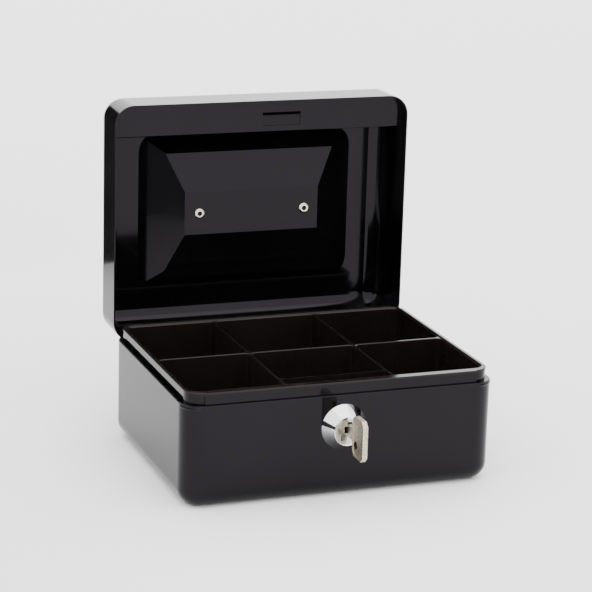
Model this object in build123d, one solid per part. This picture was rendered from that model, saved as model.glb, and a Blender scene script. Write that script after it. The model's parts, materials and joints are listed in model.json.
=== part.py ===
"""Small steel cash box: hinged lid with a sunk bail handle, lift-out coin tray and a key-operated cam lock.

Units are millimetres. X runs along the front, Y from the front (-) to the hinge side (+), Z up.
The origin is the middle of the underside. The lid is drawn shut and then swung open about its hinge,
because the box is stored with its lid open, resting on its stop.
"""
from build123d import *
from math import cos, radians, sin
import os

# --- driving dimensions of the casing
WIDTH = 155.0
DEPTH = 120.0
HEIGHT = 80.0
SHEET = 0.7                     # steel sheet of the base and the lid
CORNER_R = 10.0                 # vertical corners of base and lid
BASE_EDGE_R = 8.3               # round between the base's walls and its floor
LID_EDGE_R = 9.5                # round between the lid's walls and its top
SHELF_Z = 50.1                  # ledge of the base that the lid shuts on
SHOULDER_R = 0.45               # round on the ledge's outer edge
LID_RIM_Z = 50.4
LID_RIM_ROUND = 0.32            # round on the outer edge of the lid's rim
LID_BACK_RIM_Z = 51.1           # the back wall is cut shorter, so that it swings past the ledge
LID_BACK_RELIEF = 1.6           # how far in front of the hinge axis that cut begins
NECK_Z = 54.9                   # top of the base's inset neck
NECK_INSET = 2.3
NECK_FRONT_INSET = 1.5          # between the front corners the neck stands further forward
NECK_R = 8.0
BEAD_R = 1.1                    # pressed bead round each front corner, just under the ledge
BEAD_OUT = 0.35
BEAD_Z = 48.8
BEAD_ARC_DEG = 64.0

# --- hinge
HINGE_Y = 58.1
HINGE_Z = 48.0
OPEN_DEG = 90.0
HINGE_X = 45.0                  # each hinge's middle, left and right
HINGE_LENGTH = 30.0
KNUCKLE_R = 1.8
PIN_R = 1.0
PIN_CLEARANCE = 0.05
KNUCKLE_HALF = 4.9              # half of the lid's middle knuckle
KNUCKLE_GAP = 0.3
LEAF_FACE_Y = DEPTH / 2 - SHEET  # both leaves lie on the inside of the back walls
BASE_LEAF_LOW_Z = 36.0
LID_LEAF_TOP_Z = 63.0
LID_LEAF_WIDE_Z = 52.0

# --- handle recess in the lid, outer surface
RECESS_HALF_X = 56.3
RECESS_HALF_Y = 39.0
RECESS_R = 9.5
RECESS_LIP = 0.5
RECESS_FLOOR_Z = 68.0
FLOOR_HALF_X = 35.7
FLOOR_HALF_Y = 11.0
KNEE_Y = 30.2                   # where the gentle slope turns steeper
KNEE_Z = 72.97
RECESS_ROUND = 0.35

# --- lock strip inside the lid's front
STRIP_Z = 56.6
STRIP_T = 0.8
STRIP_BACK_Y = -42.8
STRIP_SIDE_GAP = 0.15
STRIP_FLANGE_TOP_Z = 64.0
STRIP_FLANGE_HALF_X = 63.2
STRIP_LIP_TOP_Z = 60.0
STRIP_BEND_R = 0.6
SLOT_X = (1.0, 21.2)
SLOT_Y = (-52.8, -46.0)

# --- handle
WIRE_R = 2.0
PIVOT_Z = 72.4
BRACKET_X = 28.2
EAR_OFFSET = 3.8                # from the rivet to the middle of each ear
EAR_T = 0.8
EAR_R = 3.4
EAR_BORE_CLEARANCE = 0.08
BRACKET_HALF_Y = 4.0
LEG_X = 36.2
BAIL_REACH = 27.0
BAIL_BEND_R = 6.0
LEG_BEND_R = 3.2
HEAD_R = 2.7
HEAD_T = 1.0
BAIL_TILT_DEG = 5.0             # the folded bail leans on the recess's steep slope
RIVET_SHANK_R = 1.6
RIVET_HOLE_R = 1.7
RIVET_HEAD_R = 2.75
RIVET_HEAD_T = 1.1
RIVET_BORE_R = 1.2
RIVET_BORE_DEPTH = 2.6

# --- coin tray
TRAY_WALL = 1.2
TRAY_DIVIDER = 1.4
TRAY_RIM_T = 0.9
TRAY_OVERHANG = 0.25            # of the rim past the neck
TRAY_BEVEL_DEG = 32.0           # slope of the rim's inner edge
TRAY_FLARE = 0.35               # bevel along the tops of the dividers
TRAY_SEAT_Z = NECK_Z + 0.1      # underside of the tray's rim
TRAY_IN_X = 73.0
TRAY_CORNER_R = 6.2             # outside corners of the tray's body
TRAY_IN_FRONT = -53.8
TRAY_IN_BACK = 54.6
TRAY_DIVIDER_X = 27.0
TRAY_DIVIDER_Y = -1.0
TRAY_DIVIDER_Z = 55.2
TRAY_FLOOR_Z = 30.0
TRAY_POCKET_R = 2.6
TRAY_BOTTOM_R = 2.5
LOCK_WINDOW_BACK = -45.3        # outer face of the wall set back behind the lock

# --- lock
LOCK_Z = 34.6
BEZEL_R = 11.1
BEZEL_FRONT_R = 7.3
BEZEL_OUT = 7.2
BARREL_R = 7.2
BARREL_FLAT = 6.4
BARREL_END_Y = -50.9
BARREL_HOLE_GAP = 0.1
NUT_AF = 19.0
NUT_T = 3.0
LOCK_WASHER_R = 10.0
LOCK_WASHER_T = 0.5
PLUG_R = 4.93
PLUG_BORE_R = 5.0
PLUG_FACE_R = 5.9
PLUG_FACE_BORE_R = 5.98
PLUG_FACE_T = 1.2
PLUG_FACE_Y = -67.0
FACE_SLOT_DEPTH = 3.6
FACE_SLOTS = ((-0.9, 1.5, 1.2, 4.4), (-2.3, 0.3, -0.9, 2.3))
INDEX_MARK = (-3.8, -3.3, -4.6, -2.0)
INDEX_DEPTH = 0.6
PLUG_END_Y = -50.3
SHANK_END_Y = -48.8
SHANK_R = 3.0
SHANK_FLAT = 2.2
CAM_T = 1.6
CAM_HUB_R = 5.0
CAM_IN_R = 23.4
CAM_OUT_R = 25.2
CAM_UNLOCK_DEG = 90.0
FINGER_FROM_DEG = -7.5          # angles are from straight up, towards the right, with the lock shut
FINGER_TO_DEG = 17.0
ARM_DEG = 11.5
ARM_WIDTH = 4.6
SCREW_R = 1.5
SCREW_TIP_Y = -51.6
SCREW_HEAD_R = 2.6
SCREW_HEAD_T = 1.2
CAM_WASHER_R = 3.6
CAM_WASHER_T = 0.5
WAFER_YS = (-62.6, -60.1, -57.6, -55.1)
WAFER_T = 0.8
WAFER_HALF_X = 2.3
WAFER_HALF_Z = 4.1
WAFER_GAP = 0.06
SPRING_R = 0.45
SPRING_WIRE_R = 0.1
SPRING_X = 3.05
SPRING_LOW = -1.9
SPRING_HIGH = 1.7

# --- key
KEY_X = 0.3                     # the keyway sits a little to the right of the plug's axis
KEY_Z = LOCK_Z + 0.5            # and a little above it
KEYWAY_HALF_X = 0.65
KEYWAY_HALF_Z = 3.2
BLADE_HALF_X = 0.55
BLADE_HALF_Z = 2.9
BLADE_TIP_Y = -53.0
KEY_CUTS = (1.1, 0.6, 1.3, 0.8)
NECK_HALF_X = 0.9
NECK_HALF_Z = 3.2
BOW_T = 2.5
BOW_LENGTH = 13.2
BOW_HEIGHT = 19.5
BOW_BACK_Y = -73.2
BOW_HOLE_R = 1.8
BOW_HOLE_IN = 4.0
BOW_HOLE_DOWN = 3.9
BOW_MIDDLE_Z = 35.0
BOW_CORNER = 2.2
BOW_BORDER = 1.1
BOW_PANEL_DEPTH = 0.3

parts = {}


def box(x0, x1, y0, y1, z0, z1):
    """Box between the given limits."""
    middle = Pos((x0 + x1) / 2, (y0 + y1) / 2, (z0 + z1) / 2)
    return middle * Box(x1 - x0, y1 - y0, z1 - z0)


def along_y(radius, y0, y1, x=0.0, z=LOCK_Z):
    """Cylinder whose axis runs along Y."""
    return Pos(x, (y0 + y1) / 2, z) * Rot(X=90) * Cylinder(radius, y1 - y0)


def along_x(radius, x0, x1, y, z):
    """Cylinder whose axis runs along X."""
    return Pos((x0 + x1) / 2, y, z) * Rot(Y=90) * Cylinder(radius, x1 - x0)


def along_z(radius, z0, z1, x, y):
    """Cylinder whose axis runs along Z."""
    return Pos(x, y, (z0 + z1) / 2) * Cylinder(radius, z1 - z0)


def prism(sketch, z0, z1):
    """A flat outline drawn in XY, raised between two heights."""
    return Pos(0, 0, z0) * extrude(sketch, amount=z1 - z0)


def side_prism(points, half_x):
    """An outline of (y, z) points, drawn out along X."""
    face = make_face(Polyline(*[(0, y, z) for y, z in points], close=True))
    return Pos(-half_x, 0, 0) * extrude(face, amount=2 * half_x, dir=(1, 0, 0))


def front_prism(points, half_y):
    """An outline of (x, z) points, drawn out along Y."""
    face = make_face(Polyline(*[(x, 0, z) for x, z in points], close=True))
    return Pos(0, -half_y, 0) * extrude(face, amount=2 * half_y, dir=(0, 1, 0))


def opened(shape):
    """Swings a piece drawn with the lid shut to the lid's open place."""
    return Pos(0, HINGE_Y, HINGE_Z) * Rot(X=-OPEN_DEG) * Pos(0, -HINGE_Y, -HINGE_Z) * shape


# ---------------------------------------------------------------- base
def neck_outline():
    """Outline of the neck: inset all round, and further forward between the front corners."""
    half_x = WIDTH / 2 - NECK_INSET
    half_y = DEPTH / 2 - NECK_INSET
    front = -DEPTH / 2 + NECK_FRONT_INSET
    straight = WIDTH / 2 - CORNER_R
    pad_depth = CORNER_R
    pad = Pos(0, front + pad_depth / 2) * Rectangle(2 * straight, pad_depth)
    return RectangleRounded(2 * half_x, 2 * half_y, NECK_R) + pad


def corner_bead(side):
    """The pressed bead round one front corner."""
    ring = CORNER_R - BEAD_R + BEAD_OUT
    section = Plane.XZ * Pos(ring, 0) * Circle(BEAD_R)
    bead = revolve(section, axis=Axis.Z, revolution_arc=BEAD_ARC_DEG)
    for angle in (0, BEAD_ARC_DEG):
        bead += Rot(Z=angle) * Pos(ring, 0, 0) * Sphere(BEAD_R)
    start = -45 - BEAD_ARC_DEG / 2 if side > 0 else -135 - BEAD_ARC_DEG / 2
    return Pos(side * (WIDTH / 2 - CORNER_R), CORNER_R - DEPTH / 2, BEAD_Z) * Rot(Z=start) * bead


def tub(width, depth, radius, z0, z1, edge_radius):
    """Round-cornered block whose floor edge is rounded too."""
    block = prism(RectangleRounded(width, depth, radius), z0, z1)
    return fillet(block.edges().group_by(Axis.Z)[0], edge_radius)


def base_shell():
    """Drawn tub with a ledge and a neck, a double-D lock hole and two hinge windows."""
    body = tub(WIDTH, DEPTH, CORNER_R, 0, SHELF_Z, BASE_EDGE_R)
    body = fillet(body.edges().group_by(Axis.Z)[-1], SHOULDER_R)
    outline = neck_outline()
    neck = prism(outline, SHELF_Z - SHOULDER_R, NECK_Z)
    inside = tub(WIDTH - 2 * SHEET, DEPTH - 2 * SHEET, CORNER_R - SHEET, SHEET,
                 SHELF_Z - SHEET, BASE_EDGE_R - SHEET)
    neck_inside = prism(offset(outline, -SHEET), SHELF_Z - 2 * SHEET, NECK_Z + 1)
    shell = body + neck + corner_bead(-1) + corner_bead(1) - inside - neck_inside
    for side in (-1, 1):
        x = side * HINGE_X
        half = HINGE_LENGTH / 2 + 1.6
        shell -= box(x - half, x + half, HINGE_Y - 2.4, DEPTH / 2 + 1, HINGE_Z - 2.2, SHELF_Z + 0.05)
    return shell - lock_barrel(-DEPTH / 2 - 1, -DEPTH / 2 + 2, BARREL_HOLE_GAP)


# ---------------------------------------------------------------- lid
def recess(grow):
    """The handle recess as a block: a flat floor, gentle then steep slopes front and back, plain sides."""
    floor_z = RECESS_FLOOR_Z
    top_z = HEIGHT - RECESS_LIP
    rise = 6.0
    steep = (RECESS_HALF_Y - KNEE_Y) / (top_z - KNEE_Z)
    side = (RECESS_HALF_X - FLOOR_HALF_X) / (top_z - floor_z)
    high = top_z + rise
    half_side = [(FLOOR_HALF_Y, floor_z), (KNEE_Y, KNEE_Z), (RECESS_HALF_Y + rise * steep, high)]
    profile = half_side + [(-y, z) for y, z in reversed(half_side)]
    half_front = [(FLOOR_HALF_X, floor_z), (RECESS_HALF_X + rise * side, high)]
    front = half_front + [(-x, z) for x, z in reversed(half_front)]
    across = side_prism(grown(profile, grow), RECESS_HALF_X + 20)
    along = front_prism(grown(front, grow), RECESS_HALF_Y + 20)
    outline = RectangleRounded(2 * (RECESS_HALF_X + grow), 2 * (RECESS_HALF_Y + grow), RECESS_R + grow)
    return prism(outline, floor_z - 5, HEIGHT + 1) & across & along


def grown(points, grow):
    """Moves every side of a convex outline outwards by grow."""
    if grow == 0:
        return points
    face = make_face(Polyline(*points, close=True))
    wide = offset(face, grow, kind=Kind.INTERSECTION)
    middle = wide.center()
    corners = [(v.X, v.Y) for v in wide.vertices()]
    spokes = [Vector(x - middle.X, y - middle.Y) for x, y in corners]
    order = sorted(range(len(corners)), key=lambda i: spokes[i].get_signed_angle(Vector(1, 0)))
    return [corners[i] for i in order]


def recess_rim(solid):
    """The edges of the recess's mouth on the lid's top."""
    level = [e for e in solid.edges() if abs(e.center().Z - HEIGHT) < 0.01]
    across = [e for e in level if abs(e.center().X) < RECESS_HALF_X + 0.1]
    return [e for e in across if abs(e.center().Y) < RECESS_HALF_Y + 0.1]


def lid_form(inset):
    """The lid's outer or inner form, as a block with the handle recess cut in."""
    top = HEIGHT - inset
    block = prism(RectangleRounded(WIDTH - 2 * inset, DEPTH - 2 * inset, CORNER_R - inset),
                  LID_RIM_Z - (1 if inset else 0), top)
    block = fillet(block.edges().group_by(Axis.Z)[-1], LID_EDGE_R - inset)
    return block - recess(inset)


def lid_shell():
    """Pressed lid with its handle recess, shorter at the back and pierced for two handle rivets."""
    outer = lid_form(0)
    outer = fillet(recess_rim(outer), RECESS_ROUND)
    outer = fillet(outer.edges().group_by(Axis.Z)[0], LID_RIM_ROUND)
    shell = outer - lid_form(SHEET)
    shell -= box(-WIDTH, WIDTH, HINGE_Y - LID_BACK_RELIEF, DEPTH, LID_RIM_Z - 1, LID_BACK_RIM_Z)
    for side in (-1, 1):
        shell -= along_z(RIVET_HOLE_R, RECESS_FLOOR_Z - 3, RECESS_FLOOR_Z + 3, side * BRACKET_X, 0)
    return shell


def lid_lock_strip():
    """Folded strip welded inside the lid's front, with the slot that the cam's hook enters."""
    inside = DEPTH / 2 - SHEET
    width = WIDTH - 2 * SHEET - 2 * STRIP_SIDE_GAP
    plan = RectangleRounded(width, 2 * (inside - STRIP_SIDE_GAP), CORNER_R - SHEET - STRIP_SIDE_GAP)
    web = prism(plan, STRIP_Z, STRIP_Z + STRIP_T)
    web &= box(-WIDTH, WIDTH, -DEPTH, STRIP_BACK_Y, 0, HEIGHT)
    lip = box(-width / 2, width / 2, STRIP_BACK_Y - STRIP_T, STRIP_BACK_Y, STRIP_Z, STRIP_LIP_TOP_Z)
    flange = box(-STRIP_FLANGE_HALF_X, STRIP_FLANGE_HALF_X, -inside, -inside + STRIP_T, STRIP_Z,
                 STRIP_FLANGE_TOP_Z)
    strip = web + lip + flange
    bend = [e for e in strip.edges().filter_by(Axis.X)
            if abs(e.center().Y - STRIP_BACK_Y) < 0.01 and abs(e.center().Z - STRIP_Z) < 0.01]
    strip = fillet(bend, STRIP_BEND_R)
    return strip - box(SLOT_X[0], SLOT_X[1], SLOT_Y[0], SLOT_Y[1], STRIP_Z - 1, STRIP_Z + 2)


# ---------------------------------------------------------------- hinges
def knuckle(x0, x1):
    """One rolled knuckle round the hinge axis, solid; the bore is cut by the leaf."""
    return along_x(KNUCKLE_R, x0, x1, HINGE_Y, HINGE_Z)


def hinge_base_leaf(side):
    """Leaf on the inside of the base's back wall, with the two outer knuckles."""
    middle = side * HINGE_X
    half = HINGE_LENGTH / 2
    inner = KNUCKLE_HALF + KNUCKLE_GAP
    leaf = box(middle - half, middle + half, LEAF_FACE_Y - SHEET, LEAF_FACE_Y, BASE_LEAF_LOW_Z,
               HINGE_Z - KNUCKLE_R - 0.4)
    for end in (-1, 1):
        x0 = middle + min(end * inner, end * half)
        x1 = middle + max(end * inner, end * half)
        leaf += box(x0, x1, LEAF_FACE_Y - SHEET, LEAF_FACE_Y, BASE_LEAF_LOW_Z, HINGE_Z - PIN_R)
        leaf += knuckle(x0, x1)
    return leaf - along_x(PIN_R + PIN_CLEARANCE, middle - half - 1, middle + half + 1, HINGE_Y, HINGE_Z)


def hinge_lid_leaf(side):
    """Leaf on the inside of the lid's back wall, with the middle knuckle."""
    middle = side * HINGE_X
    half = HINGE_LENGTH / 2
    tongue = box(middle - KNUCKLE_HALF, middle + KNUCKLE_HALF, LEAF_FACE_Y - SHEET, LEAF_FACE_Y,
                 HINGE_Z + PIN_R, LID_LEAF_TOP_Z)
    plate = box(middle - half, middle + half, LEAF_FACE_Y - SHEET, LEAF_FACE_Y, LID_LEAF_WIDE_Z,
                LID_LEAF_TOP_Z)
    leaf = tongue + plate + knuckle(middle - KNUCKLE_HALF, middle + KNUCKLE_HALF)
    return leaf - along_x(PIN_R + PIN_CLEARANCE, middle - half, middle + half, HINGE_Y, HINGE_Z)


def hinge_pin(side):
    """Pin through the three knuckles, headed at both ends."""
    middle = side * HINGE_X
    half = HINGE_LENGTH / 2
    pin = along_x(PIN_R, middle - half - 0.1, middle + half + 0.1, HINGE_Y, HINGE_Z)
    for end in (-1, 1):
        x0 = middle + end * (half + 0.1)
        x1 = middle + end * (half + 0.7)
        pin += along_x(PIN_R + 0.45, min(x0, x1), max(x0, x1), HINGE_Y, HINGE_Z)
    return pin


# ---------------------------------------------------------------- handle
def handle_bracket(side):
    """U-shaped bracket on the recess floor: a riveted foot and two eared sides."""
    x = side * BRACKET_X
    foot_half = EAR_OFFSET + EAR_T / 2
    bracket = box(x - foot_half, x + foot_half, -BRACKET_HALF_Y, BRACKET_HALF_Y, RECESS_FLOOR_Z,
                  RECESS_FLOOR_Z + EAR_T)
    for ear in (-1, 1):
        middle = x + ear * EAR_OFFSET
        low = box(middle - EAR_T / 2, middle + EAR_T / 2, -EAR_R, EAR_R, RECESS_FLOOR_Z, PIVOT_Z)
        bracket += low + along_x(EAR_R, middle - EAR_T / 2, middle + EAR_T / 2, 0, PIVOT_Z)
    bracket -= along_x(WIRE_R + EAR_BORE_CLEARANCE, x - 8, x + 8, 0, PIVOT_Z)
    return bracket - along_z(RIVET_SHANK_R + 0.05, RECESS_FLOOR_Z - 1, RECESS_FLOOR_Z + 2, x, 0)


def handle_rivet(side):
    """Tubular rivet: low head in the bracket, shank through the lid, rolled hollow end inside."""
    x = side * BRACKET_X
    foot_top = RECESS_FLOOR_Z + EAR_T
    inside = RECESS_FLOOR_Z - SHEET
    rivet = along_z(RIVET_SHANK_R, inside - RIVET_HEAD_T, foot_top + 0.5, x, 0)
    head = along_z(RIVET_HEAD_R, foot_top, foot_top + RIVET_HEAD_T, x, 0)
    head = fillet(head.edges().group_by(Axis.Z)[-1], 0.7)
    clinch = along_z(RIVET_HEAD_R, inside - RIVET_HEAD_T, inside, x, 0)
    clinch = fillet(clinch.edges().group_by(Axis.Z)[0], 0.9)
    rivet += head + clinch
    start = inside - RIVET_HEAD_T
    return rivet - along_z(RIVET_BORE_R, start - 1, start + RIVET_BORE_DEPTH, x, 0)


def handle_bail():
    """Bent wire bail with upset ends that keep it in its brackets."""
    head_x = BRACKET_X - EAR_OFFSET - EAR_T / 2 - 0.3
    route = [(-head_x, 0, 0), (-LEG_X, 0, 0), (-LEG_X, BAIL_REACH, 0),
             (LEG_X, BAIL_REACH, 0), (LEG_X, 0, 0), (head_x, 0, 0)]
    radii = [LEG_BEND_R, BAIL_BEND_R, BAIL_BEND_R, LEG_BEND_R]
    path = FilletPolyline(*route, radius=radii)
    wire = sweep(Plane((-head_x, 0, 0), z_dir=(-1, 0, 0)) * Circle(WIRE_R), path=path)
    for side in (-1, 1):
        x0 = side * (head_x - HEAD_T)
        x1 = side * head_x
        head = along_x(HEAD_R, min(x0, x1), max(x0, x1), 0, 0)
        wire += head
    return Pos(0, 0, PIVOT_Z) * Rot(X=BAIL_TILT_DEG) * wire


# ---------------------------------------------------------------- coin tray
def tray_pocket(x0, x1, y0, y1, inside):
    """One coin compartment with rounded corners and bottom edge, kept inside the given outline."""
    plan = Pos((x0 + x1) / 2, (y0 + y1) / 2) * RectangleRounded(x1 - x0, y1 - y0, TRAY_POCKET_R)
    plan = plan & inside
    pocket = prism(plan, TRAY_FLOOR_Z, NECK_Z + 2)
    pocket = fillet(pocket.edges().group_by(Axis.Z)[0], TRAY_BOTTOM_R)
    flare = Pos(0, 0, TRAY_DIVIDER_Z - TRAY_FLARE) * extrude(plan, amount=TRAY_FLARE + 0.05, taper=-45)
    return pocket + flare


def coin_tray():
    """Lift-out tray of six compartments, hanging by its rim, notched at the front for the lock."""
    middle_y = (TRAY_IN_FRONT + TRAY_IN_BACK) / 2
    length_x = 2 * (TRAY_IN_X + TRAY_WALL)
    length_y = TRAY_IN_BACK - TRAY_IN_FRONT + 2 * TRAY_WALL
    plan = Pos(0, middle_y) * RectangleRounded(length_x, length_y, TRAY_CORNER_R)
    body = prism(plan, TRAY_FLOOR_Z - TRAY_WALL, TRAY_SEAT_Z + TRAY_RIM_T)
    body = fillet(body.edges().group_by(Axis.Z)[0], TRAY_BOTTOM_R)
    rim = prism(offset(neck_outline(), TRAY_OVERHANG), TRAY_SEAT_Z, TRAY_SEAT_Z + TRAY_RIM_T)
    rim = fillet(rim.edges().group_by(Axis.Z)[-1], 0.35)
    window_x = TRAY_DIVIDER_X - TRAY_DIVIDER / 2
    notch = box(-window_x, window_x, -DEPTH, LOCK_WINDOW_BACK, 0, TRAY_SEAT_Z)
    tray = body - notch + rim
    tray -= box(-window_x, window_x, TRAY_IN_FRONT, LOCK_WINDOW_BACK, 0, HEIGHT)
    inside = offset(plan, -TRAY_WALL)
    mouth = offset(plan, TRAY_FLARE + 0.05 - TRAY_WALL)
    tray -= Pos(0, 0, TRAY_DIVIDER_Z) * extrude(mouth, amount=2.0, taper=-TRAY_BEVEL_DEG)
    half = TRAY_DIVIDER / 2
    xs = [(-TRAY_IN_X, -TRAY_DIVIDER_X - half), (-window_x, window_x), (TRAY_DIVIDER_X + half, TRAY_IN_X)]
    for number, (x0, x1) in enumerate(xs):
        front = LOCK_WINDOW_BACK + TRAY_WALL if number == 1 else TRAY_IN_FRONT
        tray -= tray_pocket(x0, x1, front, TRAY_DIVIDER_Y - half, inside)
        tray -= tray_pocket(x0, x1, TRAY_DIVIDER_Y + half, TRAY_IN_BACK, inside)
    return tray


# ---------------------------------------------------------------- lock
def lock_barrel(y0, y1, gap):
    """The lock's round barrel with its two flats."""
    flats = box(-BARREL_FLAT - gap, BARREL_FLAT + gap, y0, y1, LOCK_Z - BARREL_R - 1, LOCK_Z + BARREL_R + 1)
    return along_y(BARREL_R + gap, y0, y1) & flats


def lock_housing():
    """Cast housing: conical front with a raised ring, and a barrel through the wall."""
    wall_y = -DEPTH / 2
    front_y = wall_y - BEZEL_OUT
    outline = Polyline((0, wall_y), (BEZEL_R, wall_y), (BEZEL_R, wall_y - 0.5),
                       (BEZEL_FRONT_R + 0.25, front_y + 0.7), (BEZEL_FRONT_R, front_y + 0.25),
                       (BEZEL_FRONT_R - 0.25, front_y), (0, front_y), close=True)
    cone = revolve(make_face(outline), axis=Axis.Y)
    cone = Pos(0, 0, LOCK_Z) * cone
    barrel = lock_barrel(wall_y, BARREL_END_Y, 0)
    bore = along_y(PLUG_BORE_R, front_y - 1, BARREL_END_Y + 1)
    face_bore = along_y(PLUG_FACE_BORE_R, front_y - 1, PLUG_FACE_Y + PLUG_FACE_T + 0.1)
    return cone + barrel - bore - face_bore


def lock_washer():
    """Plain washer between the wall and the nut."""
    wall_y = -DEPTH / 2 + SHEET
    return along_y(LOCK_WASHER_R, wall_y, wall_y + LOCK_WASHER_T) - along_y(BARREL_R + 0.05, -70, -40)


def lock_nut():
    """Hexagon nut that clamps the housing to the front wall."""
    start = -DEPTH / 2 + SHEET + LOCK_WASHER_T
    hexagon = RegularPolygon(NUT_AF / 2, 6, major_radius=False)
    nut = Pos(0, start + NUT_T, LOCK_Z) * Rot(X=90) * extrude(hexagon, amount=NUT_T)
    return nut - along_y(BARREL_R + 0.05, -70, -40)


def lock_plug():
    """Turning plug: face disc, keyway, wafer slots, and a double-D end for the cam."""
    plug = along_y(PLUG_R, PLUG_FACE_Y, PLUG_END_Y)
    plug += along_y(PLUG_FACE_R, PLUG_FACE_Y, PLUG_FACE_Y + PLUG_FACE_T)
    shank = along_y(SHANK_R, PLUG_END_Y, SHANK_END_Y)
    shank &= box(-SHANK_FLAT, SHANK_FLAT, -70, -40, LOCK_Z - 5, LOCK_Z + 5)
    plug += shank
    plug -= box(KEY_X - KEYWAY_HALF_X, KEY_X + KEYWAY_HALF_X, -70, BLADE_TIP_Y + 0.6,
                KEY_Z - KEYWAY_HALF_Z, KEY_Z + KEYWAY_HALF_Z)
    for x0, x1, z0, z1 in FACE_SLOTS:
        plug -= box(x0, x1, -70, PLUG_FACE_Y + FACE_SLOT_DEPTH, LOCK_Z + z0, LOCK_Z + z1)
    x0, x1, z0, z1 = INDEX_MARK
    plug -= box(x0, x1, -70, PLUG_FACE_Y + INDEX_DEPTH, LOCK_Z + z0, LOCK_Z + z1)
    half_y = WAFER_T / 2 + WAFER_GAP
    for y in WAFER_YS:
        plug -= box(-WAFER_HALF_X - WAFER_GAP, WAFER_HALF_X + WAFER_GAP, y - half_y, y + half_y,
                    LOCK_Z - PLUG_R - 1, LOCK_Z + PLUG_R + 1)
        plug -= box(WAFER_HALF_X - 0.5, SPRING_X + 0.62, y - 0.56, y + 0.56, LOCK_Z + SPRING_LOW,
                    LOCK_Z + 2.9)
    return plug - along_y(SCREW_R, SCREW_TIP_Y - 0.2, -40)


def lock_wafers():
    """Four wafers with a window for the key and an ear that rests on the spring."""
    wafers = []
    for y in WAFER_YS:
        y0 = y - WAFER_T / 2
        y1 = y + WAFER_T / 2
        wafer = box(-WAFER_HALF_X, WAFER_HALF_X, y0, y1, LOCK_Z - WAFER_HALF_Z, LOCK_Z + WAFER_HALF_Z)
        wafer += box(0, SPRING_X + 0.5, y0, y1, LOCK_Z + SPRING_HIGH + 0.15, LOCK_Z + 2.7)
        wafer -= box(KEY_X - 0.8, KEY_X + 0.8, y0 - 1, y1 + 1, KEY_Z - 3.1, KEY_Z + 3.1)
        wafers.append(wafer.solid())
    return Compound(children=wafers)


def wafer_springs():
    """A small coil spring under each wafer's ear."""
    springs = []
    low = SPRING_LOW + SPRING_WIRE_R + 0.02
    high = SPRING_HIGH - SPRING_WIRE_R
    for y in WAFER_YS:
        coil = Helix(pitch=(high - low) / 4, height=high - low, radius=SPRING_R - SPRING_WIRE_R)
        section = Plane(coil @ 0, z_dir=coil % 0) * Circle(SPRING_WIRE_R)
        spring = Pos(SPRING_X, y, LOCK_Z + low) * sweep(section, path=coil, is_frenet=True)
        springs.append(spring.solid())
    return Compound(children=springs)


def at_angle(radius, degrees):
    """Point at a radius and an angle from straight up, towards the right, seen from the front."""
    return (radius * sin(radians(degrees)), radius * cos(radians(degrees)))


def lock_cam():
    """Hooked cam: hub, arm and a finger that follows the circle round the lock's axis."""
    start, end = FINGER_FROM_DEG, FINGER_TO_DEG
    middle = (start + end) / 2
    outer = ThreePointArc(*[at_angle(CAM_OUT_R, a) for a in (start, middle, end)])
    inner = ThreePointArc(*[at_angle(CAM_IN_R, a) for a in (end, middle, start)])
    finger = make_face(Curve() + [outer, Line(outer @ 1, inner @ 0), inner, Line(inner @ 1, outer @ 0)])
    reach = CAM_IN_R + 0.6
    arm = Rot(Z=-ARM_DEG) * Pos(0, reach / 2) * Rectangle(ARM_WIDTH, reach)
    plate = Rot(Z=-CAM_UNLOCK_DEG) * (finger + arm + Circle(CAM_HUB_R))
    plate -= Circle(SHANK_R + 0.05) & Rectangle(2 * SHANK_FLAT + 0.1, 4 * SHANK_R)
    return Pos(0, PLUG_END_Y + CAM_T, LOCK_Z) * Rot(X=90) * extrude(plate, amount=CAM_T)


def cam_washer():
    """Washer under the cam screw."""
    y0 = PLUG_END_Y + CAM_T
    return along_y(CAM_WASHER_R, y0, y0 + CAM_WASHER_T) - along_y(SCREW_R + 0.1, -70, -40)


def cam_screw():
    """Slotted screw that holds the cam on the plug."""
    y0 = PLUG_END_Y + CAM_T + CAM_WASHER_T
    screw = along_y(SCREW_R - 0.05, SCREW_TIP_Y, y0)
    head = along_y(SCREW_HEAD_R, y0, y0 + SCREW_HEAD_T)
    head = fillet(head.edges().group_by(Axis.Y)[-1], 0.4)
    slot = box(-4, 4, y0 + SCREW_HEAD_T - 0.6, y0 + SCREW_HEAD_T + 1, LOCK_Z - 0.4, LOCK_Z + 0.4)
    return screw + head - slot


# ---------------------------------------------------------------- key
def bow_outline(inset):
    """The key bow's outline: a rectangle with cut corners, shrunk by inset."""
    half_y = BOW_LENGTH / 2 - inset
    half_z = BOW_HEIGHT / 2 - inset
    cut = BOW_CORNER - 0.58 * inset
    quarter = [(half_y, half_z - cut), (half_y - cut, half_z)]
    left = [(-y, z) for y, z in reversed(quarter)]
    upper = quarter + left
    return make_face(Polyline(*upper, *[(-y, -z) for y, z in upper], close=True))


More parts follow.
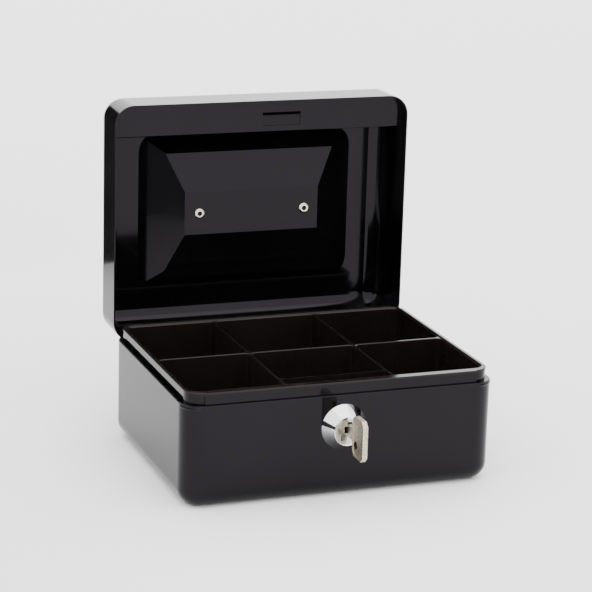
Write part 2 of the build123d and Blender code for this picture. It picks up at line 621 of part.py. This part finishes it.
def key():
    """Flat steel key: bordered bow with a small hole, neck, and a notched blade."""
    middle_y = BOW_BACK_Y - BOW_LENGTH / 2
    left = KEY_X - BOW_T / 2
    plane = Plane(origin=(left, middle_y, BOW_MIDDLE_Z), x_dir=(0, 1, 0), z_dir=(1, 0, 0))
    far = Plane(origin=(left + BOW_T, middle_y, BOW_MIDDLE_Z), x_dir=(0, 1, 0), z_dir=(1, 0, 0))
    bow = extrude(plane * bow_outline(0), amount=BOW_T)
    bow = fillet(bow.edges().filter_by(Axis.X), 0.8)
    bow = fillet(bow.edges().group_by(Axis.X)[0] + bow.edges().group_by(Axis.X)[-1], 0.25)
    bow -= extrude(plane * bow_outline(BOW_BORDER), amount=BOW_PANEL_DEPTH)
    bow -= extrude(far * bow_outline(BOW_BORDER), amount=-BOW_PANEL_DEPTH)
    hole_z = BOW_MIDDLE_Z - BOW_HOLE_DOWN
    bow -= along_x(BOW_HOLE_R, left - 1, left + BOW_T + 1, BOW_BACK_Y - BOW_HOLE_IN, hole_z)
    neck = box(KEY_X - NECK_HALF_X, KEY_X + NECK_HALF_X, BOW_BACK_Y - 1.5, PLUG_FACE_Y - 0.3,
               KEY_Z - NECK_HALF_Z, KEY_Z + NECK_HALF_Z)
    blade = box(KEY_X - BLADE_HALF_X, KEY_X + BLADE_HALF_X, PLUG_FACE_Y - 0.4, BLADE_TIP_Y,
                KEY_Z - BLADE_HALF_Z, KEY_Z + BLADE_HALF_Z)
    top = KEY_Z + BLADE_HALF_Z
    for y, depth in zip(WAFER_YS, KEY_CUTS):
        points = [(y - depth - 0.5, top + 0.2), (y - 0.3, top - depth), (y + 0.3, top - depth),
                  (y + depth + 0.5, top + 0.2)]
        blade -= side_prism(points, 2)
    return bow + neck + blade


SIDES = {"left": -1, "right": 1}

parts["base_shell"] = base_shell()
parts["lid_shell"] = opened(lid_shell())
parts["lid_lock_strip"] = opened(lid_lock_strip())
parts["handle_bail"] = opened(handle_bail())
parts["coin_tray"] = coin_tray()
parts["lock_housing"] = lock_housing()
parts["lock_washer"] = lock_washer()
parts["lock_nut"] = lock_nut()
parts["lock_plug"] = lock_plug()
parts["lock_wafers"] = lock_wafers()
parts["wafer_springs"] = wafer_springs()
parts["lock_cam"] = lock_cam()
parts["cam_washer"] = cam_washer()
parts["cam_screw"] = cam_screw()
parts["key"] = key()
for name, side in SIDES.items():
    parts[f"hinge_base_leaf_{name}"] = hinge_base_leaf(side)
    parts[f"hinge_lid_leaf_{name}"] = opened(hinge_lid_leaf(side))
    parts[f"hinge_pin_{name}"] = hinge_pin(side)
    parts[f"handle_bracket_{name}"] = opened(handle_bracket(side))
    parts[f"handle_rivet_{name}"] = opened(handle_rivet(side))

os.makedirs("parts", exist_ok=True)
for node, shape in parts.items():
    export_step(shape, f"parts/{node}.step")
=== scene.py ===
"""Looks for the small steel cash box: materials, studio and camera. Positions are in metres."""
import json
import math

import bpy
from mathutils import Matrix, Vector


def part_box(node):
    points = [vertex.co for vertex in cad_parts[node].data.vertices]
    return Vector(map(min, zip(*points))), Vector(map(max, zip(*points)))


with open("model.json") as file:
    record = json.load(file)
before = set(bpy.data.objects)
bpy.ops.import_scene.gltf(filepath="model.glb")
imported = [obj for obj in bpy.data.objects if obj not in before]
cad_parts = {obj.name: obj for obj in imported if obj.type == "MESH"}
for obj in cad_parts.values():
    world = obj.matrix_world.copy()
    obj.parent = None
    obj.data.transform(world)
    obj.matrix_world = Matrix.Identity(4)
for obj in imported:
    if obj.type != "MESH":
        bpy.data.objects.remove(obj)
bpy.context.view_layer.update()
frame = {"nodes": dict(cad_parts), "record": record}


# ---------------------------------------------------------------- values
# Scales count noise cells per metre; depths and distances are in metres.
BODY_SCALE = 30                 # slow change of a black surface's colour
POLISH_SCALE = 55               # and of its polish
PEEL_SCALE = 420                # fine orange peel
PEEL_DEPTH = 0.00002
WAVE_SCALE = 60                 # slow waviness under the peel
WAVE_DEPTH = 0.0001
WAVE_SHARE = 0.4                # the waviness's strength, as a share of the peel's
METAL_BUMP = 0.3

MASK_EDGE = 0.00005             # softness of the masks' edges
# Painted shade: the plug's keyway, its sunk marks and the plug behind them are coloured dark by depth.
PLUG_RECESS = 0.0003            # what lies deeper than this in the plug's face is dark
# radius of the painted shade in the hollow of each rivet's rolled end
RIVET_BORE_R = 0.00125
# radius of the painted shade around the key's ring hole
KEY_HOLE_R = 0.00185            # just wider than the hole, to take in its wall
KEY_HOLE_BACK = 0.0092          # the hole's middle, behind the bow's front edge
KEY_HOLE_UP = 0.00585           # the hole's middle, above the bow's lowest point

FLOOR_SIZE = 6.0
FLOOR_GREY = 0.9
MATT_ROUGHNESS = 0.9
MATT_SPECULAR = 0.2
WORLD_STRENGTH = 3.2

CAMERA_PLACE = (-0.36403, -0.96843, 0.36822)
CAMERA_YAW = 20.434             # degrees, from +Y towards +X
CAMERA_PITCH = 15.5             # degrees downwards
CAMERA_ROLL = 1.671             # degrees about the view
LENS_MM = 134.801
SENSOR_MM = 36.0


# ---------------------------------------------------------------- node helpers
def new_material(name):
    """A node material with one principled shader, its tree and that shader."""
    material = bpy.data.materials.new(name)
    material.use_nodes = True
    tree = material.node_tree
    shader = tree.nodes["Principled BSDF"]
    return material, tree, shader


def noise(tree, scale, detail=3.0):
    """Noise in the object's own metres."""
    coords = tree.nodes.new("ShaderNodeTexCoord")
    node = tree.nodes.new("ShaderNodeTexNoise")
    node.inputs["Scale"].default_value = scale
    node.inputs["Detail"].default_value = detail
    tree.links.new(coords.outputs["Object"], node.inputs["Vector"])
    return node.outputs["Fac"]


def ramp(tree, factor, low, high, start=0.3, end=0.7):
    """Maps a factor's stretch from start to end onto low to high; the usual stretch suits noise."""
    node = tree.nodes.new("ShaderNodeMapRange")
    node.inputs["From Min"].default_value = start
    node.inputs["From Max"].default_value = end
    node.inputs["To Min"].default_value = low
    node.inputs["To Max"].default_value = high
    tree.links.new(factor, node.inputs["Value"])
    return node.outputs["Result"]


def colour_mix(tree, factor, first, second):
    """Blends two colours by a factor; the first may be a socket."""
    node = tree.nodes.new("ShaderNodeMix")
    node.data_type = "RGBA"
    if isinstance(first, tuple):
        node.inputs["A"].default_value = (*first, 1)
    else:
        tree.links.new(first, node.inputs["A"])
    node.inputs["B"].default_value = (*second, 1)
    tree.links.new(factor, node.inputs["Factor"])
    return node.outputs["Result"]


def bump(tree, shader, height, distance, strength, before=None):
    """Adds a bump layer and returns it, so that layers can be chained."""
    node = tree.nodes.new("ShaderNodeBump")
    node.inputs["Strength"].default_value = strength
    node.inputs["Distance"].default_value = distance
    tree.links.new(height, node.inputs["Height"])
    if before is not None:
        tree.links.new(before.outputs["Normal"], node.inputs["Normal"])
    tree.links.new(node.outputs["Normal"], shader.inputs["Normal"])
    return node


def math_node(tree, operation, first, second=None):
    """One maths step; either operand may be a number or a socket."""
    node = tree.nodes.new("ShaderNodeMath")
    node.operation = operation
    for slot, value in enumerate((first, second)):
        if value is None:
            continue
        if isinstance(value, (int, float)):
            node.inputs[slot].default_value = value
        else:
            tree.links.new(value, node.inputs[slot])
    return node.outputs[0]


def object_axes(tree):
    """The object's own X, Y and Z."""
    coords = tree.nodes.new("ShaderNodeTexCoord")
    split = tree.nodes.new("ShaderNodeSeparateXYZ")
    tree.links.new(coords.outputs["Object"], split.inputs["Vector"])
    return split.outputs["X"], split.outputs["Y"], split.outputs["Z"]


# ---------------------------------------------------------------- masks of painted shade
def circle_mask(tree, first, second, radius):
    """Mask of what lies within radius of an axis; first and second are the offsets from that axis."""
    squares = [math_node(tree, "POWER", offset, 2.0) for offset in (first, second)]
    distance = math_node(tree, "SQRT", math_node(tree, "ADD", *squares))
    return ramp(tree, distance, 1, 0, radius - MASK_EDGE, radius + MASK_EDGE)


def plug_recess_shade(tree):
    """Mask of painted shade on the keyway and the marks sunk in the plug's face, and on the plug behind it.
    """
    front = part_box("lock_plug")[0].y + PLUG_RECESS
    y = object_axes(tree)[1]
    return ramp(tree, y, 0, 1, front - MASK_EDGE, front + MASK_EDGE)


def rivet_bore_shade(tree):
    """Mask of painted shade in the hollow in the middle of each rivet's rolled end."""
    low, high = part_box("handle_rivet_right")
    x, _, z = object_axes(tree)
    side = math_node(tree, "SUBTRACT", math_node(tree, "ABSOLUTE", x), (low.x + high.x) / 2)
    rise = math_node(tree, "SUBTRACT", z, (low.z + high.z) / 2)
    return circle_mask(tree, side, rise, RIVET_BORE_R)


def key_hole_shade(tree):
    """Mask of painted shade in and around the hole for a key ring through the key's bow."""
    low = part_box("key")[0]
    _, y, z = object_axes(tree)
    back = math_node(tree, "SUBTRACT", y, low.y + KEY_HOLE_BACK)
    rise = math_node(tree, "SUBTRACT", z, low.z + KEY_HOLE_UP)
    return circle_mask(tree, back, rise, KEY_HOLE_R)


# ---------------------------------------------------------------- materials
def black_gloss(name, low, high, rough, level, tint, peel):
    """A glossy black surface: dark body, clear mirror-like skin, faint orange peel."""
    material, tree, shader = new_material(name)
    body = colour_mix(tree, ramp(tree, noise(tree, BODY_SCALE), 0, 1), low, high)
    tree.links.new(body, shader.inputs["Base Color"])
    tree.links.new(ramp(tree, noise(tree, POLISH_SCALE, detail=4), *rough), shader.inputs["Roughness"])
    fine = bump(tree, shader, noise(tree, PEEL_SCALE, detail=1), PEEL_DEPTH, peel)
    bump(tree, shader, noise(tree, WAVE_SCALE, detail=1), WAVE_DEPTH, peel * WAVE_SHARE, before=fine)
    shader.inputs["Specular IOR Level"].default_value = level
    shader.inputs["Specular Tint"].default_value = (*tint, 1)
    return material


def metal(name, low, high, rough, scale=200, depth=0.00001, grain=90, recess=None,
          shade=(0.015, 0.013, 0.012)):
    """A metal whose tint and polish vary. recess, if given, makes a mask of the places that take the shade.

    grain is the scale of the tint's change, scale that of the polish, and the bump is twice as fine.
    """
    material, tree, shader = new_material(name)
    shader.inputs["Metallic"].default_value = 1.0
    tint = colour_mix(tree, ramp(tree, noise(tree, grain, detail=4), 0, 1), low, high)
    if recess is not None:
        tint = colour_mix(tree, recess(tree), tint, shade)
    tree.links.new(tint, shader.inputs["Base Color"])
    tree.links.new(ramp(tree, noise(tree, scale, detail=5), *rough), shader.inputs["Roughness"])
    bump(tree, shader, noise(tree, scale * 2, detail=2), depth, METAL_BUMP)
    return material


MATERIALS = {
    "black_paint": black_gloss(
        "black_paint", low=(0.0012, 0.0011, 0.0014), high=(0.0020, 0.0018, 0.0022),
        rough=(0.06, 0.10), level=0.155, tint=(0.97, 0.90, 1.0), peel=0.12),
    "black_plastic": black_gloss(
        "black_plastic", low=(0.0056, 0.0040, 0.0035), high=(0.0076, 0.0057, 0.0050),
        rough=(0.10, 0.16), level=0.17, tint=(1.0, 0.95, 0.98), peel=0.10),
    "chrome": metal("chrome", low=(0.62, 0.62, 0.64), high=(0.70, 0.70, 0.72), rough=(0.03, 0.07)),
    # The plug carries painted shade in its keyway and sunk marks.
    "plug": metal(
        "plug", low=(0.42, 0.41, 0.39), high=(0.56, 0.55, 0.53), rough=(0.14, 0.24), scale=350,
        recess=plug_recess_shade),
    # The rivets carry painted shade in the hollows of their rolled ends.
    "rivet": metal(
        "rivet", low=(0.44, 0.41, 0.36), high=(0.58, 0.55, 0.49), rough=(0.14, 0.24), scale=350,
        recess=rivet_bore_shade, shade=(0.06, 0.052, 0.045)),
    # The key's bow carries painted shade in and around its ring hole.
    "key_steel": metal(
        "key_steel", low=(0.25, 0.22, 0.165), high=(0.68, 0.62, 0.49), rough=(0.38, 0.55), scale=700,
        depth=0.00006, grain=1300, recess=key_hole_shade),
    "zinc_steel": metal(
        "zinc_steel", low=(0.48, 0.49, 0.51), high=(0.62, 0.63, 0.65), rough=(0.22, 0.38)),
    "brass": metal("brass", low=(0.62, 0.44, 0.18), high=(0.74, 0.55, 0.26), rough=(0.2, 0.34)),
}

# The plug and the rivets share the record's nickel slot, and each has its own painted shade in its hollows.
slots = {entry["node"]: entry["material_slot"] for entry in frame["record"]["subparts"]}
slots.update({"lock_plug": "plug", "handle_rivet_left": "rivet", "handle_rivet_right": "rivet"})
for node, thing in frame["nodes"].items():
    thing.data.materials.clear()
    thing.data.materials.append(MATERIALS[slots[node]])


# ---------------------------------------------------------------- studio
def matt_material(name, grey):
    """Plain surface for the floor and the cards."""
    material, tree, shader = new_material(name)
    shader.inputs["Base Color"].default_value = (grey, grey, grey, 1)
    shader.inputs["Roughness"].default_value = MATT_ROUGHNESS
    shader.inputs["Specular IOR Level"].default_value = MATT_SPECULAR
    return material


bpy.ops.mesh.primitive_plane_add(size=FLOOR_SIZE, location=(0, 0, 0))
floor = bpy.context.object
floor.name = "studio_floor"
floor.data.materials.append(matt_material("studio_floor", FLOOR_GREY))

world = bpy.data.worlds.new("studio")
bpy.context.scene.world = world
world.use_nodes = True
background = world.node_tree.nodes["Background"]
background.inputs["Color"].default_value = (1, 1, 1, 1)
background.inputs["Strength"].default_value = WORLD_STRENGTH


def soft_box(name, place, target, width, height, power):
    """A large rectangular light aimed at a point; its power is in watts."""
    light = bpy.data.lights.new(name, "AREA")
    light.shape = "RECTANGLE"
    light.size = width
    light.size_y = height
    light.energy = power
    thing = bpy.data.objects.new(name, light)
    bpy.context.scene.collection.objects.link(thing)
    thing.location = place
    thing.rotation_euler = (Vector(target) - Vector(place)).to_track_quat("-Z", "Y").to_euler()


def card(name, place, width, height, turn, grey):
    """An upright card, turned in degrees about Z. It shows in the gloss, but not to the camera itself."""
    upright = (math.radians(90), 0, math.radians(turn))
    bpy.ops.mesh.primitive_plane_add(size=1.0, location=place, rotation=upright)
    board = bpy.context.object
    board.name = name
    board.scale = (width, height, 1)
    board.visible_camera = False
    board.data.materials.append(matt_material(name, grey))


soft_box("top_light", place=(0.1, -0.2, 1.2), target=(0, 0, 0.05), width=1.2, height=1.2, power=6)
soft_box("back_light", place=(0.75, 1.7, 0.72), target=(0, 0, 0.1), width=2.6, height=1.0, power=6)
card("card_left", place=(-0.27, 0.42, 0.12), width=0.30, height=0.24, turn=-20, grey=0.01)
card("card_front_left", place=(-0.34, -0.23, 0.10), width=0.20, height=0.20, turn=142, grey=0.25)
card("card_low_left", place=(-0.33, 0.02, 0.05), width=0.40, height=0.10, turn=90, grey=0.02)
card("card_right", place=(0.45, -0.35, 0.30), width=0.25, height=0.35, turn=50, grey=0.02)


# ---------------------------------------------------------------- camera
def set_camera():
    """A plain camera with no shift, placed and turned by the values at the top."""
    yaw, pitch, roll = (math.radians(angle) for angle in (CAMERA_YAW, CAMERA_PITCH, CAMERA_ROLL))
    level = Vector((math.sin(yaw), math.cos(yaw), 0))
    ahead = level * math.cos(pitch) - Vector((0, 0, math.sin(pitch)))
    right = Vector((math.cos(yaw), -math.sin(yaw), 0))
    up = right.cross(ahead)
    rolled_right = math.cos(roll) * right + math.sin(roll) * up
    rolled_up = math.cos(roll) * up - math.sin(roll) * right
    data = bpy.data.cameras.new("camera")
    data.sensor_width = SENSOR_MM
    data.lens = LENS_MM
    camera = bpy.data.objects.new("camera", data)
    bpy.context.scene.collection.objects.link(camera)
    turn = Matrix((rolled_right, rolled_up, -ahead)).transposed().to_4x4()
    camera.matrix_world = Matrix.Translation(Vector(CAMERA_PLACE)) @ turn
    bpy.context.scene.camera = camera


set_camera()
